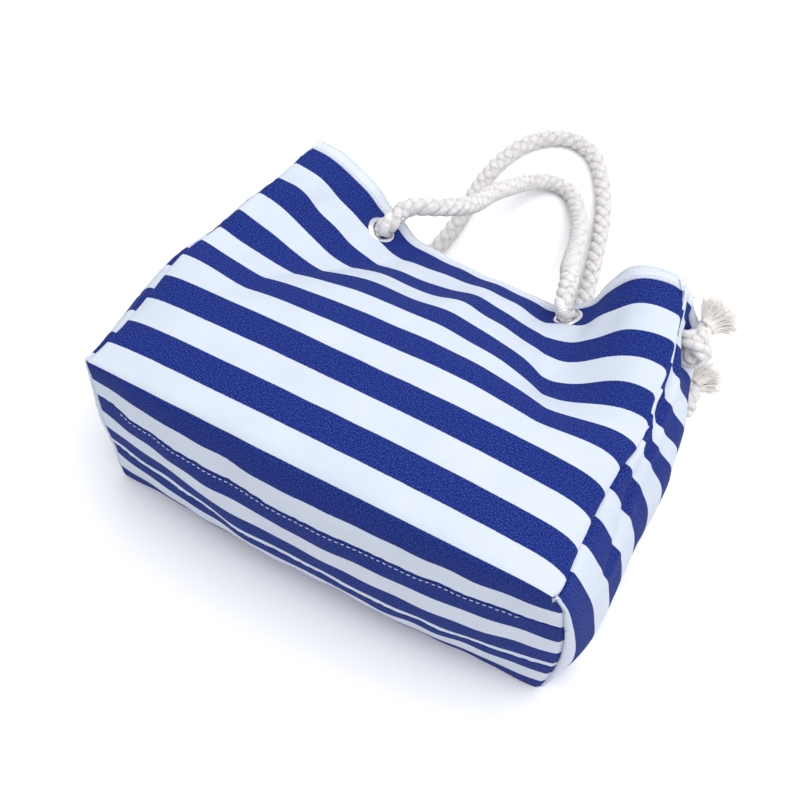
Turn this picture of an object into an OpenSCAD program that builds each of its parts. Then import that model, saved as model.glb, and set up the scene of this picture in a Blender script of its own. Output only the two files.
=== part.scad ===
// Striped canvas beach bag with two thick rope handles, lying on its back panel.
// X runs across the bag, +Y from the base to the open mouth, +Z up out of the front panel.
// The origin is on the ground, under the middle of the back panel.

/* [Body] */
// Width of the front and back panels, seam to seam
panel_w = 402; // [380:1:420]
// Height of the panels, from the bottom crease to the hem tape
panel_h = 300; // [290:1:310]
// Depth of the body at the base, back panel to front panel
body_d = 205; // [195:1:215]
// Width of the hem tape around the mouth
hem_w = 12.5; // [8:0.5:14]
// Thickness of the canvas
canvas_t = 1.6; // [1:0.1:2]
// Thickness of the hem tape with the canvas edge folded into it
tape_t = 3; // [2:0.1:3.4]
// How far the front panel turns under the base before it meets the base strip
turn_under = 50; // [40:1:60]
// How far the back panel turns under the base before it meets the base strip
back_turn_under = 70; // [60:1:80]

/* [Slump] */
// How far the middle of the front rim sinks towards the back panel
rim_sag = 89; // [70:1:92]
// How far the middle of the base bulges outwards
base_bulge = 21; // [10:1:24]
// How far the right end of the base bulges outwards
end_bulge = 10; // [6:0.5:12]
// How much further the bottom back corner reaches on the left
left_corner = 7; // [0:0.5:8]
// How far the right gusset bulges outwards
right_bulge = 31; // [20:1:34]
// How far the left gusset bulges outwards
left_bulge = 40; // [30:1:44]
// How high the back rim is propped up by the ropes below it
rim_lift = 31; // [30:0.5:34]
// How far the left gusset folds inwards again towards the rim
left_fold = 20; // [10:1:24]
// How far a knot draws the gusset inwards around its eyelet
knot_pinch = 21; // [12:0.5:22]

/* [Rope and eyelets] */
// Diameter of the handle rope
rope_d = 16; // [14:0.5:16]
// Outside diameter of an eyelet
eyelet_d = 27; // [25:0.5:28]
// Diameter of the hole through an eyelet
eyelet_hole_d = 17; // [16.8:0.1:18]
// Height of the front and back eyelets above the bottom crease
eyelet_v = 286; // [282:0.5:286]
// Height of the gusset eyelets above the bottom crease
side_eyelet_v = 275; // [272:0.5:280]
// Length of a knot along its rope
knot_l = 24; // [20:1:28]
// Largest diameter of a knot
knot_d = 34; // [32:1:36]
// Length of the frayed end, from inside its knot
tassel_l = 36; // [30:1:38]

/* [Hidden] */

navy = [0.13, 0.20, 0.50];
white_canvas = [0.93, 0.93, 0.95];
steel = [0.75, 0.76, 0.78];
cotton = [0.88, 0.84, 0.76];

rest_y = 95;              // distance from the base crease to the origin
row_step = 12.5;          // panel rows, so two rows make one stripe
cols = 24;
rows = round(panel_h / row_step);
top_v = panel_h + hem_w;
seam_gap = 2.8;           // between a gusset's edge and the panel that it is sewn to
rope_r = rope_d / 2;
bore_r = eyelet_hole_d / 2;
flange_t = 1.2;

// Small helpers
function clamp01(t) = max(0, min(1, t));
function smooth(t) = let (c = clamp01(t)) c * c * (3 - 2 * c);
function mix(a, b, t) = a + (b - a) * t;
function unit(p) = p / norm(p);
function hump(t) = 4 * t * (1 - t);

// ---- Front panel: it sinks from the middle of its height to the rim, between two fold valleys ----

sag_from = 108;           // height where the front panel starts to sink
function valley_depth(v) = rim_sag * 1.02 * max(0, v - sag_from + 3) / (panel_h - sag_from + 3);
function middle_depth(v) = rim_sag * pow(max(0, v - sag_from) / (panel_h - sag_from), 1.45);
function valley_rise(v) = clamp01((v - panel_h / 2) / (panel_h / 2));
function left_valley(v) = -0.67 + 0.40 * valley_rise(v);
function right_valley(v) = 0.60 - 0.30 * valley_rise(v);
function left_shelf(v) = 30 * smooth((v - 105) / 85) + 10 * smooth((v - 240) / 60);
function right_shelf(v) = 20 * smooth((v - 110) / 70);
shelf_at = 0.92;          // from here to the side seam the panel is nearly level
function shelf_blend(u, valley) = smooth((abs(u) - abs(valley)) / (shelf_at - abs(valley)));
function sag(u, v) =
    let (l = left_valley(v), r = right_valley(v), m = (l + r) / 2, h = (r - l) / 2, d = valley_depth(v))
    u < l ? mix(d, left_shelf(v), shelf_blend(u, l)) :
    u > r ? mix(d, right_shelf(v), shelf_blend(u, r)) :
    mix(middle_depth(v), d, pow((u - m) / h, 2));

// Slack folds: a positive one sinks, a negative one stands up
function fold(u, v, at_u, at_v, wide_u, wide_v) =
    exp(-pow((u - at_u) / wide_u, 2) - pow((v - at_v) / wide_v, 2));
function right_fall(u, v) =
    4.5 * smooth((u - 0.1) / 0.8) * (1 - smooth((v - 80) / 60)) * (1 - exp(-v / 12));
function slack_folds(u, v) =
    right_fall(u, v) + 8 * fold(u, v, 0.64, 192, 0.2, 32) - 3.5 * fold(u, v, 0.26, 135, 0.26, 24)
        + 6 * fold(u, v, -0.13, 240, 0.13, 48) - 2 * fold(u, v, 0.08, 250, 0.08, 60)
        + 5 * fold(u, v, -0.72, 262, 0.11, 40) - 7 * fold(u, v, -1, 190, 0.1, 50);

// The panel rolls over its side seams in the stuffed lower half, and a little over the left one above
function edge_roll(u, v) =
    let (reach = exp(-(1 - abs(u)) / 0.08) * (1 - exp(-v / 30)))
    reach * (u < 0 ? 9 - 7 * smooth((v - 100) / 60) : 20 * (1 - smooth((v - 120) / 60)));
function crown(u, v) = 5 * (1 - u * u) * (v < 130 ? sin(180 * v / 130) : 0);
function front_z(u, v) = body_d + crown(u, v) - sag(u, v) - edge_roll(u, v) - slack_folds(u, v);

// Canvas keeps its length, so each row's Y and X come from the fall of the surface
function col_u(j) = 2 * j / cols - 1;
function row_v(i) = i * row_step;
function run(step, a, b) = sqrt(max(1, step * step - a * a - b * b));
function front_y_column(u) =
    [for (i = 0, y = 0; i <= rows + 1;
        y = y + run(row_step, front_z(u, row_v(i + 1)) - front_z(u, row_v(i)), 0), i = i + 1) y];
front_y = [for (j = [0 : cols]) front_y_column(col_u(j))];
front_yz = [for (i = [0 : rows + 1]) [for (j = [0 : cols]) [front_y[j][i], front_z(col_u(j), row_v(i))]]];
function row_x(yz, middle) =
    let (step = panel_w / cols, half = cols / 2,
        right = [for (j = half, x = 0; j <= cols;
            x = x + (j < cols ? run(step, yz[j + 1][0] - yz[j][0], yz[j + 1][1] - yz[j][1]) : 0),
            j = j + 1) x],
        left = [for (j = half, x = 0; j >= 0;
            x = x - (j > 0 ? run(step, yz[j - 1][0] - yz[j][0], yz[j - 1][1] - yz[j][1]) : 0),
            j = j - 1) x])
    [for (j = [0 : cols]) middle + (j < half ? left[half - j] : right[j - half])];
function drift(v) = 9 * pow(v / panel_h, 2);
front_grid = [for (i = [0 : rows + 1])
    let (xs = row_x(front_yz[i], drift(row_v(i))))
    [for (j = [0 : cols]) [xs[j], front_yz[i][j][0], front_yz[i][j][1]]]];

// ---- Back panel: flat on the ground, and raised near the rim by the ropes that pass under it ----

lift_from = 150;
back_flare = 4;           // the back edge of the base is this much wider at each end
function back_z(v) = rim_lift * pow(max(0, v - lift_from) / (top_v - lift_from), 2);
back_y = [for (i = 0, y = 0; i <= rows + 1;
    y = y + run(row_step, back_z(row_v(i + 1)) - back_z(row_v(i)), 0), i = i + 1) y];
function back_corner(side) = panel_w / 2 + back_flare + (side < 0 ? left_corner : 0);
function back_half(v, side) =
    mix(panel_w / 2 + back_flare, panel_w / 2 - 6, smooth(v / panel_h))
        + (side < 0 ? left_corner * (1 - smooth(v / 150)) : 0);
back_grid = [for (i = [0 : rows + 1])
    [for (j = [0 : cols]) [col_u(j) * back_half(row_v(i), col_u(j)), back_y[i], back_z(row_v(i))]]];

// ---- Base: bulged outwards in the middle and at its ends ----

function base_y(u, z) = -base_bulge * pow(1 - u * u, 0.9) * (1 - pow(abs(2 * z / body_d - 1), 3));
function base_half(z, side) =
    mix(back_corner(side), panel_w / 2, z / body_d) + (side > 0 ? end_bulge : 0) * hump(z / body_d);
function base_point(u, q) = let (z = body_d - q) [u * base_half(z, u), base_y(u, z), z];
function base_row(q) = [for (j = [0 : cols]) base_point(col_u(j), q)];

// ---- Gussets: between the side seams of the front and back panels, bulged outwards ----

gusset_cols = 10;
function side_bulge(side, v) =
    side > 0 ? mix(end_bulge, right_bulge, 1 - exp(-v / 22)) - 8 * smooth((v - 180) / 110) :
    left_bulge * (1 - exp(-v / 30)) - (left_bulge - 12) * smooth((v - 90) / 80)
        - left_fold * smooth((v - 170) / 130);
function knot_at(side) = side > 0 ? [0.20, 0.70] : [0.36, 0.78];
function dimple(a, v, at) = exp(-pow((a - at) * body_d / 30, 2) - pow((v - side_eyelet_v) / 32, 2));
function pinch(side, a, v) =
    knot_pinch * sqrt(hump(a)) * (dimple(a, v, knot_at(side)[0]) + dimple(a, v, knot_at(side)[1]));
function gusset_point(side, a, i, v) =
    let (j = side > 0 ? cols : 0, p = mix(front_grid[i][j], back_grid[i][j], a))
    p + [side * (side_bulge(side, v) * pow(hump(a), 0.8) - pinch(side, a, v)), 0, 0];
function gusset_a(k, gap) = mix(gap / body_d, 1 - gap / body_d, k / gusset_cols);
function gusset_grid(side, gap) = [for (i = [0 : rows + 1])
    [for (k = [0 : gusset_cols]) gusset_point(side, gusset_a(k, gap), i, row_v(i))]];
right_grid = gusset_grid(1, seam_gap);
left_gap = 3.9;           // the left gusset is folded shallower, so it needs more room
left_grid = gusset_grid(-1, left_gap);
tape_end_gap = 7;         // between a gusset tape's end and the panel
right_rim = gusset_grid(1, tape_end_gap);
left_rim = gusset_grid(-1, tape_end_gap);

// ---- Grid tools: points, normals and closed shells ----

function cell(g, i, j) = g[max(0, min(len(g) - 1, i))][max(0, min(len(g[0]) - 1, j))];
function normal(g, i, j) =
    unit(cross(cell(g, i, j + 1) - cell(g, i, j - 1), cell(g, i + 1, j) - cell(g, i - 1, j)));
function pushed(g, d) =
    [for (i = [0 : len(g) - 1]) [for (j = [0 : len(g[0]) - 1]) g[i][j] + d * normal(g, i, j)]];
function part_of(g, a, b) = [for (i = [a : b]) g[i]];
function blend_at(g, i, j) =
    let (r = floor(i), c = floor(j), a = i - r, b = j - c)
    mix(mix(cell(g, r, c), cell(g, r, c + 1), b), mix(cell(g, r + 1, c), cell(g, r + 1, c + 1), b), a);
function normal_at(g, i, j) =
    let (across = blend_at(g, i, j + 0.5) - blend_at(g, i, j - 0.5))
    unit(cross(across, blend_at(g, i + 0.5, j) - blend_at(g, i - 0.5, j)));

// Closed shell between two matching grids; the outer one has its normals pointing out
module shell(outer, inner) {
    n = len(outer);
    m = len(outer[0]);
    points = concat([for (r = outer) each r], [for (r = inner) each r]);
    base = n * m;
    faces = concat(
        [for (i = [0 : n - 2]) for (j = [0 : m - 2]) each
            [[i * m + j, (i + 1) * m + j, (i + 1) * m + j + 1],
             [i * m + j, (i + 1) * m + j + 1, i * m + j + 1]]],
        [for (i = [0 : n - 2]) for (j = [0 : m - 2]) each
            [[base + i * m + j, base + (i + 1) * m + j + 1, base + (i + 1) * m + j],
             [base + i * m + j, base + i * m + j + 1, base + (i + 1) * m + j + 1]]],
        [for (j = [0 : m - 2]) each
            [[j, j + 1, base + j + 1], [j, base + j + 1, base + j]]],
        [for (j = [0 : m - 2]) let (k = (n - 1) * m + j) each
            [[k, base + k + 1, k + 1], [k, base + k, base + k + 1]]],
        [for (i = [0 : n - 2]) let (k = i * m) each
            [[k, base + k + m, k + m], [k, base + k, base + k + m]]],
        [for (i = [0 : n - 2]) let (k = i * m + m - 1) each
            [[k, k + m, base + k + m], [k, base + k + m, base + k]]]);
    polyhedron(points, faces, convexity = 6);
}

module sheet(g, outside, inside) shell(pushed(g, outside), pushed(g, -inside));

// Everything is built with Y from the base crease, then moved to the origin
module placed() translate([0, -rest_y, 0]) children();

// ---- Eyelets: where each one sits and which way it faces ----

front_left = [front_grid, eyelet_v / row_step, 6];
front_right = [front_grid, eyelet_v / row_step, 17.2];
back_left = [back_grid, eyelet_v / row_step, 6];
back_right = [back_grid, eyelet_v / row_step, 18];
function side_seat(side, k) =
    [side > 0 ? right_grid : left_grid, side_eyelet_v / row_step, knot_at(side)[k] * gusset_cols];
right_front = side_seat(1, 0);
right_back = side_seat(1, 1);
left_front = side_seat(-1, 0);
left_back = side_seat(-1, 1);

// A grid's own normals point up or to the right, so they are flipped on the back and left sides
function outward(seat, flip) = flip * normal_at(seat[0], seat[1], seat[2]);
function centre(seat) = blend_at(seat[0], seat[1], seat[2]);
function seat_point(seat, flip, d) = centre(seat) + d * outward(seat, flip);

// Turns +Z to the seat's outward normal
module on_seat(seat, flip) {
    n = outward(seat, flip);
    translate(centre(seat)) rotate([0, acos(n[2]), atan2(n[1], n[0])]) children();
}

barrel_t = 0.8;
module eyelet(seat, flip) {
    lip = canvas_t + 1.4;
    color(steel) placed() on_seat(seat, flip) rotate_extrude($fn = 64) polygon([
        [bore_r, -lip], [bore_r, flange_t], [bore_r + 1.2, flange_t + 0.6],
        [eyelet_d / 2 - 2, flange_t + 0.4], [eyelet_d / 2, 0.4], [eyelet_d / 2 - 1, 0.4],
        [bore_r + barrel_t, 0.4], [bore_r + barrel_t, -lip]]);
}

module washer(seat, flip) {
    color(steel) placed() on_seat(seat, flip) rotate_extrude($fn = 64)
        translate([bore_r + barrel_t + 0.05, -canvas_t - 1.3])
        square([eyelet_d / 2 - bore_r - barrel_t - 1, 0.9]);
}

// Hole that a barrel passes through, in a panel
module barrel_hole(seat, flip) {
    on_seat(seat, flip) cylinder(r = bore_r + barrel_t + 0.1, h = 16, center = true, $fn = 48);
}

// ---- Canvas ----

front_rows = concat([for (k = [4 : -1 : 1]) base_row(turn_under * k / 4)], part_of(front_grid, 0, rows));
back_rows = concat([for (k = [4 : -1 : 1]) base_row(body_d - back_turn_under * k / 4)],
    part_of(back_grid, 0, rows));
strip_gap = 0.6;          // between the base strip and each panel
strip_rows = [for (i = [0 : 6])
    base_row(mix(turn_under + strip_gap, body_d - back_turn_under - strip_gap, i / 6))];

module front_panel() {
    color(navy) placed() difference() {
        sheet(front_rows, 0, canvas_t);
        barrel_hole(front_left, 1);
        barrel_hole(front_right, 1);
    }
}

module back_panel() {
    color(navy) placed() difference() {
        shell(pushed(back_rows, canvas_t), back_rows);
        barrel_hole(back_left, -1);
        barrel_hole(back_right, -1);
    }
}

module base_strip() {
    color(white_canvas) placed() shell(pushed(strip_rows, canvas_t), strip_rows);
}

module gusset(g, side) {
    lifted = concat([[for (p = g[0]) p + [0, seam_gap, 0]]], part_of(g, 1, rows));
    color(navy) placed() difference() {
        if (side > 0) shell(lifted, pushed(lifted, -canvas_t));
        else shell(pushed(lifted, canvas_t), lifted);
        barrel_hole(side_seat(side, 0), side);
        barrel_hole(side_seat(side, 1), side);
    }
}

module left_gusset() gusset(left_grid, -1);
module right_gusset() gusset(right_grid, 1);

// ---- Hem tape around the mouth ----

tape_gap = 0.4;
function tape_rows(g) = [
    [for (j = [0 : len(g[0]) - 1]) mix(g[rows][j], g[rows + 1][j], tape_gap / row_step)],
    [for (j = [0 : len(g[0]) - 1]) mix(g[rows][j], g[rows + 1][j], hem_w / row_step)]];
module rim_tape(g, proud, flip) {
    color(white_canvas) placed()
        if (flip > 0) shell(pushed(tape_rows(g), proud), pushed(tape_rows(g), proud - tape_t));
        else shell(pushed(tape_rows(g), tape_t - proud), pushed(tape_rows(g), -proud));
}

// ---- Rope ----

// Smooth curve through the points, with a number of steps between each two
function spline_point(p, i, t) =
    let (n = len(p) - 1, a = p[max(0, i - 1)], b = p[i], c = p[min(n, i + 1)], d = p[min(n, i + 2)])
    0.5 * (2 * b + (c - a) * t + (2 * a - 5 * b + 4 * c - d) * t * t + (3 * b - a - 3 * c + d) * t * t * t);
function spline(p, steps) = concat(
    [for (i = [0 : len(p) - 2]) for (s = [0 : steps - 1]) spline_point(p, i, s / steps)], [p[len(p) - 1]]);
function tangent(p, i) = unit(p[min(len(p) - 1, i + 1)] - p[max(0, i - 1)]);
function square_to(n, t) = unit(n - (n * t) * t);
function sides_of(p) =
    [for (i = 0, n = square_to([0.3, 0.2, 1], tangent(p, 0)); i < len(p);
        n = square_to(n, tangent(p, min(len(p) - 1, i + 1))), i = i + 1) n];

rope_sides = 10;
// Tube along a path; a round end is a half ball, so that it can turn in its seat
module tube(path, round_ends) {
    n = len(path);
    normals = sides_of(path);
    caps = round_ends ? [72, 48, 24] : [];
    rings = concat(
        [for (c = caps) [path[0] - tangent(path, 0) * rope_r * sin(c), rope_r * cos(c), 0]],
        [for (i = [0 : n - 1]) [path[i], rope_r, i]],
        [for (k = [len(caps) - 1 : -1 : 0])
            [path[n - 1] + tangent(path, n - 1) * rope_r * sin(caps[k]), rope_r * cos(caps[k]), n - 1]]);
    count = len(rings);
    points = [for (r = rings) for (s = [0 : rope_sides - 1])
        let (t = tangent(path, r[2]), a = normals[r[2]], b = cross(t, a), w = 360 * s / rope_sides)
        r[0] + r[1] * (cos(w) * a + sin(w) * b)];
    faces = concat(
        [[for (s = [0 : rope_sides - 1]) s]],
        [for (i = [0 : count - 2]) for (s = [0 : rope_sides - 1]) let (e = (s + 1) % rope_sides) each
            [[i * rope_sides + s, (i + 1) * rope_sides + s, (i + 1) * rope_sides + e],
             [i * rope_sides + s, (i + 1) * rope_sides + e, i * rope_sides + e]]],
        [[for (s = [rope_sides - 1 : -1 : 0]) (count - 1) * rope_sides + s]]);
    polyhedron(points, faces, convexity = 6);
}

// The loops turn about balls that stand this far outside the front eyelets
pivot_h = 13;
front_pivots = [seat_point(front_left, 1, pivot_h), seat_point(front_right, 1, pivot_h)];
back_pivots = [[-84, 322, 8.2], [88, 322, 8.2]];
front_loop = concat([front_pivots[0]], [[-76, 290, 147], [-57, 303, 146], [-43, 322, 134],
    [-37, 350, 112], [-37, 390, 84], [-35, 428, 54], [-28, 465, 27], [-12, 490, 10.5], [12, 487, 8.5],
    [34, 455, 19], [49, 412, 44], [60, 368, 76], [69, 330, 106], [78, 303, 127]], [front_pivots[1]]);
back_loop = concat([back_pivots[0]], [[-79, 350, 8.2], [-75, 385, 8.2], [-75, 420, 8.2], [-76, 455, 8.2],
    [-72, 490, 8.2], [-60, 524, 8.2], [-38, 548, 8.2], [-12, 556, 8.2], [14, 544, 8.2], [35, 515, 8.2],
    [50, 484, 8.2], [61, 450, 8.2], [70, 415, 8.2], [78, 378, 8.2], [84, 348, 8.2]], [back_pivots[1]]);

// The fixed rope stretches run inside the bag, from behind a knot to the handle's end
knot_tail = 14;           // how far a knot's own rope reaches into the bag
function leaving_knot(seat, flip) = [for (d = [1, 9, 16]) seat_point(seat, flip, -knot_tail - d)];
function out_front(seat) = [for (d = [-14, -6, pivot_h - rope_r - 0.6]) seat_point(seat, 1, d)];
function out_back(seat) = [for (d = [-17, -7, 3]) seat_point(seat, -1, d)];
front_left_run = concat(leaving_knot(left_front, -1), [[-118, 260, 99], [-105, 262, 104]],
    out_front(front_left));
front_right_run = concat(leaving_knot(right_front, 1), [[138, 261, 125], [121, 260, 110], [108, 261, 108]],
    out_front(front_right));
back_left_run = concat(leaving_knot(left_back, -1), [[-122, 270, 46], [-106, 275, 44]],
    out_back(back_left), [[-99, 290, 10.5], [-95, 301, 8.2], [-88, 313.4, 8.2]]);
back_right_run = concat(leaving_knot(right_back, 1), [[144, 267, 70], [124, 271, 57], [107, 275, 46]],
    out_back(back_right), [[99, 290, 10.5], [96, 301, 8.2], [91, 313.4, 8.2]]);

module rope_run(path) color(cotton) placed() tube(spline(path, 3), false);
module front_handle() color(cotton) placed() tube(spline(front_loop, 4), true);
module back_handle() color(cotton) placed() tube(spline(back_loop, 4), true);

// ---- Knots outside the gussets, and their frayed ends ----

knot_stand = flange_t + 4;  // from the canvas to the inner end of the knot
knot_neck = rope_r + 1;
function knot_r(k) = knot_neck + (knot_d / 2 - knot_neck) * sin(180 * k / 8);
module knot_shape() {
    rotate_extrude($fn = 48) polygon(concat(
        [[0, -knot_tail], [rope_r, -knot_tail], [rope_r, knot_stand]],
        [for (k = [0 : 8]) [knot_r(k), knot_stand + knot_l * k / 8]],
        [[0, knot_stand + knot_l]]));
}

module knot(seat, flip) color(cotton) placed() on_seat(seat, flip) knot_shape();

// A frayed end starts inside its knot and leans away from the knot's own axis
right_lean = [-58, 0, 0];
left_lean = [0, 28, 0];
module tassel(seat, flip, lean) {
    color(cotton) placed() on_seat(seat, flip) difference() {
        translate([0, 0, knot_stand + knot_l / 2]) rotate(lean)
            rotate_extrude($fn = 48) polygon([[0, 0], [rope_r, 0], [rope_r + 5, tassel_l], [0, tassel_l]]);
        knot_shape();
    }
}

front_panel();
back_panel();
base_strip();
left_gusset();
right_gusset();
rim_tape(front_grid, 0.8, 1);  // rim_tape_front
rim_tape(back_grid, 0.8, -1);  // rim_tape_back
rim_tape(left_rim, 0.8, -1);  // rim_tape_left
rim_tape(right_rim, 0.8, 1);  // rim_tape_right
eyelet(front_left, 1);  // eyelet_front_left
eyelet(front_right, 1);  // eyelet_front_right
eyelet(back_left, -1);  // eyelet_back_left
eyelet(back_right, -1);  // eyelet_back_right
eyelet(left_front, -1);  // eyelet_side_left_front
eyelet(left_back, -1);  // eyelet_side_left_back
eyelet(right_front, 1);  // eyelet_side_right_front
eyelet(right_back, 1);  // eyelet_side_right_back
washer(front_left, 1);  // washer_front_left
washer(front_right, 1);  // washer_front_right
washer(back_left, -1);  // washer_back_left
washer(back_right, -1);  // washer_back_right
washer(left_front, -1);  // washer_side_left_front
washer(left_back, -1);  // washer_side_left_back
washer(right_front, 1);  // washer_side_right_front
washer(right_back, 1);  // washer_side_right_back
rope_run(front_left_run);  // rope_front_left
rope_run(front_right_run);  // rope_front_right
rope_run(back_left_run);  // rope_back_left
rope_run(back_right_run);  // rope_back_right
front_handle();
back_handle();
knot(left_front, -1);  // knot_left_front
knot(left_back, -1);  // knot_left_back
knot(right_front, 1);  // knot_right_front
knot(right_back, 1);  // knot_right_back
tassel(left_front, -1, left_lean);  // tassel_left_front
tassel(left_back, -1, left_lean);  // tassel_left_back
tassel(right_front, 1, right_lean);  // tassel_right_front
tassel(right_back, 1, right_lean);  // tassel_right_back
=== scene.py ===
"""Striped canvas beach bag with two twisted cotton rope handles, lying on its back panel."""
import math

import bpy
import numpy as np
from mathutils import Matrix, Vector


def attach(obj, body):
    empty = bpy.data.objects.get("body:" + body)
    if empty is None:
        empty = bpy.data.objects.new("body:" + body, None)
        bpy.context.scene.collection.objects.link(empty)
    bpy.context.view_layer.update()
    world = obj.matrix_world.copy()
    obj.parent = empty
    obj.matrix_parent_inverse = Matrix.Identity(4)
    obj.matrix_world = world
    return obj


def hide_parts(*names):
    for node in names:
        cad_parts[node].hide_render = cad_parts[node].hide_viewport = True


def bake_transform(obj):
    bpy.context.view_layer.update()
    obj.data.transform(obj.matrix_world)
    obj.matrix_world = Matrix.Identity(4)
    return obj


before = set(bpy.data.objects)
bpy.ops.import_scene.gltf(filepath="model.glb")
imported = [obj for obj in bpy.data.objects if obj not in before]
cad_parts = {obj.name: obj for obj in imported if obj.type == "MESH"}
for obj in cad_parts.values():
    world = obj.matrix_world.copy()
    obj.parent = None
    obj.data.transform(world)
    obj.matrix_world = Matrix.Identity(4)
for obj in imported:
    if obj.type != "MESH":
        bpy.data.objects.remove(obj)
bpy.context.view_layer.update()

# ---- Sizes in millimetres, as in the part's source; Y runs from the base crease until it is placed ----

MM = 0.001
REST_Y = 95                 # from the base crease to the origin
PANEL_W = 402
PANEL_H = 300
BODY_D = 205
HEM_W = 12.5
TOP_V = PANEL_H + HEM_W
STRIPE = 25
CANVAS_T = 1.3              # the CAD shells are 1.6
FLOOR_GAP = 0.1             # the lowest that the rope's strands reach
FIBRE_GAP = 0.15            # and its loose fibres
CLOTH_GAP = 0.2             # and the canvas
FRONT_SEAM = 50             # how far the front panel turns under the base
BACK_SEAM = 135             # from the front crease to the seam of the back panel's turn-under

RIM_SAG = 89                # how far the middle of the front rim falls
SAG_FROM = 108              # the height on the panel where that fall starts
SHELF_AT = 0.92             # from here to the side seam the front panel is nearly level
BASE_BULGE = 21
END_BULGE = 10              # of the base's right end
RIGHT_BULGE = 31            # of the gussets
LEFT_BULGE = 40
LEFT_FOLD = 20              # how far the left gusset is pulled in at the rim
KNOT_PINCH = 21             # how far the tied ropes pull the gussets in
LIFT_FROM = 150             # the height on the panel where the back rim starts to leave the floor
RIM_LIFT = 31
BACK_FLARE = 4              # extra half width of the back panel at the base
LEFT_CORNER = 7             # how much more there is of it on the left
CORNER_TUCK = (6, 2)        # the front right corner of the base, inwards and down

SIDE_EYELET_V = 275         # from the base crease to the side eyelets
EYELET_TOP = 1.8            # from the canvas to the top of an eyelet
PIVOT_H = 13                # from the canvas to the front loop's hinge
LOOP_Z = 8.2                # of the back loop's middle line, which lies on the floor


# ---- Small helpers ----

def clamp01(t):
    return np.clip(t, 0, 1)


def smooth(t):
    c = clamp01(t)
    return c * c * (3 - 2 * c)


def mix(a, b, t):
    return a + (b - a) * t


def hump(t):
    return 4 * t * (1 - t)


def unit(v):
    return v / np.maximum(np.linalg.norm(v, axis=-1, keepdims=True), 1e-9)


def placed(points):
    """Millimetres with Y from the base crease, to metres in the frame."""
    moved = np.asarray(points, float) - np.array([0, REST_Y, 0])
    return moved * MM


def waves(count, longest, shortest, seed):
    """A smooth random function of two lengths, about -1 to 1, from plane waves in a band of wavelengths."""
    r = np.random.default_rng(seed)
    turn = r.uniform(0, 2 * np.pi, count)
    length = np.exp(r.uniform(np.log(shortest), np.log(longest), count))
    phase = r.uniform(0, 2 * np.pi, count)

    def field(a, b):
        total = np.zeros(np.broadcast(a, b).shape)
        for t, w, p in zip(turn, length, phase):
            total = total + np.sin(2 * np.pi * (a * np.cos(t) + b * np.sin(t)) / w + p)
        return total / math.sqrt(count)

    return field


# ---- Meshes ----

def mesh_object(name, points, faces, material, uv=None):
    """A new mesh piece from points in metres; uv holds one pair for each point, or one for each corner."""
    mesh = bpy.data.meshes.new(name)
    mesh.from_pydata([tuple(p) for p in points], [], [tuple(int(i) for i in f) for f in faces])
    if uv is not None:
        layer = mesh.uv_layers.new(name="Pattern")
        corners = np.zeros(len(mesh.loops), np.int32)
        mesh.loops.foreach_get("vertex_index", corners)
        layer.data.foreach_set("uv", np.asarray(uv, np.float32)[corners].ravel())
    mesh.polygons.foreach_set("use_smooth", [True] * len(mesh.polygons))
    for m in material if isinstance(material, list) else [material]:
        mesh.materials.append(m)
    mesh.update()
    piece = bpy.data.objects.new(name, mesh)
    bpy.context.scene.collection.objects.link(piece)
    return piece


def grid_faces(rows, columns, closed=False, start=0):
    """Quads of a grid of points, with columns running first; closed joins the last column to the first."""
    i, j = np.meshgrid(np.arange(rows - 1), np.arange(columns if closed else columns - 1), indexing="ij")
    k = (j + 1) % columns
    quads = np.stack([i * columns + j, i * columns + k, (i + 1) * columns + k, (i + 1) * columns + j], -1)
    return quads.reshape(-1, 4) + start


def normals_of(grid):
    """Unit normals of a grid of points: along its columns crossed with along its rows."""
    across = np.gradient(grid, axis=1)
    along = np.gradient(grid, axis=0)
    return unit(np.cross(across, along))


def cloth_shell(name, outer, inner, uv, materials):
    """A closed sheet between two matching grids, with the second material on its inner side."""
    rows, columns = outer.shape[:2]
    count = rows * columns
    points = np.concatenate([outer.reshape(-1, 3), inner.reshape(-1, 3)])
    front = grid_faces(rows, columns)
    back = grid_faces(rows, columns, start=count)[:, ::-1]
    edge = np.concatenate([
        np.arange(columns - 1), np.arange(rows - 1) * columns + columns - 1,
        (rows - 1) * columns + np.arange(columns - 1, 0, -1), np.arange(rows - 1, 0, -1) * columns])
    after = np.roll(edge, -1)
    rim = np.stack([edge, edge + count, after + count, after], -1)
    faces = np.concatenate([front, back, rim])
    piece = mesh_object(name, placed(points), faces, materials, np.concatenate([uv.reshape(-1, 2)] * 2))
    index = np.zeros(len(faces), np.int32)
    index[len(front):len(front) + len(back)] = 1
    piece.data.polygons.foreach_set("material_index", index)
    return piece


# ---- Materials ----

def new_material(name):
    m = bpy.data.materials.new(name)
    m.use_nodes = True
    return m, m.node_tree.nodes, m.node_tree.links, m.node_tree.nodes["Principled BSDF"]


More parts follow.
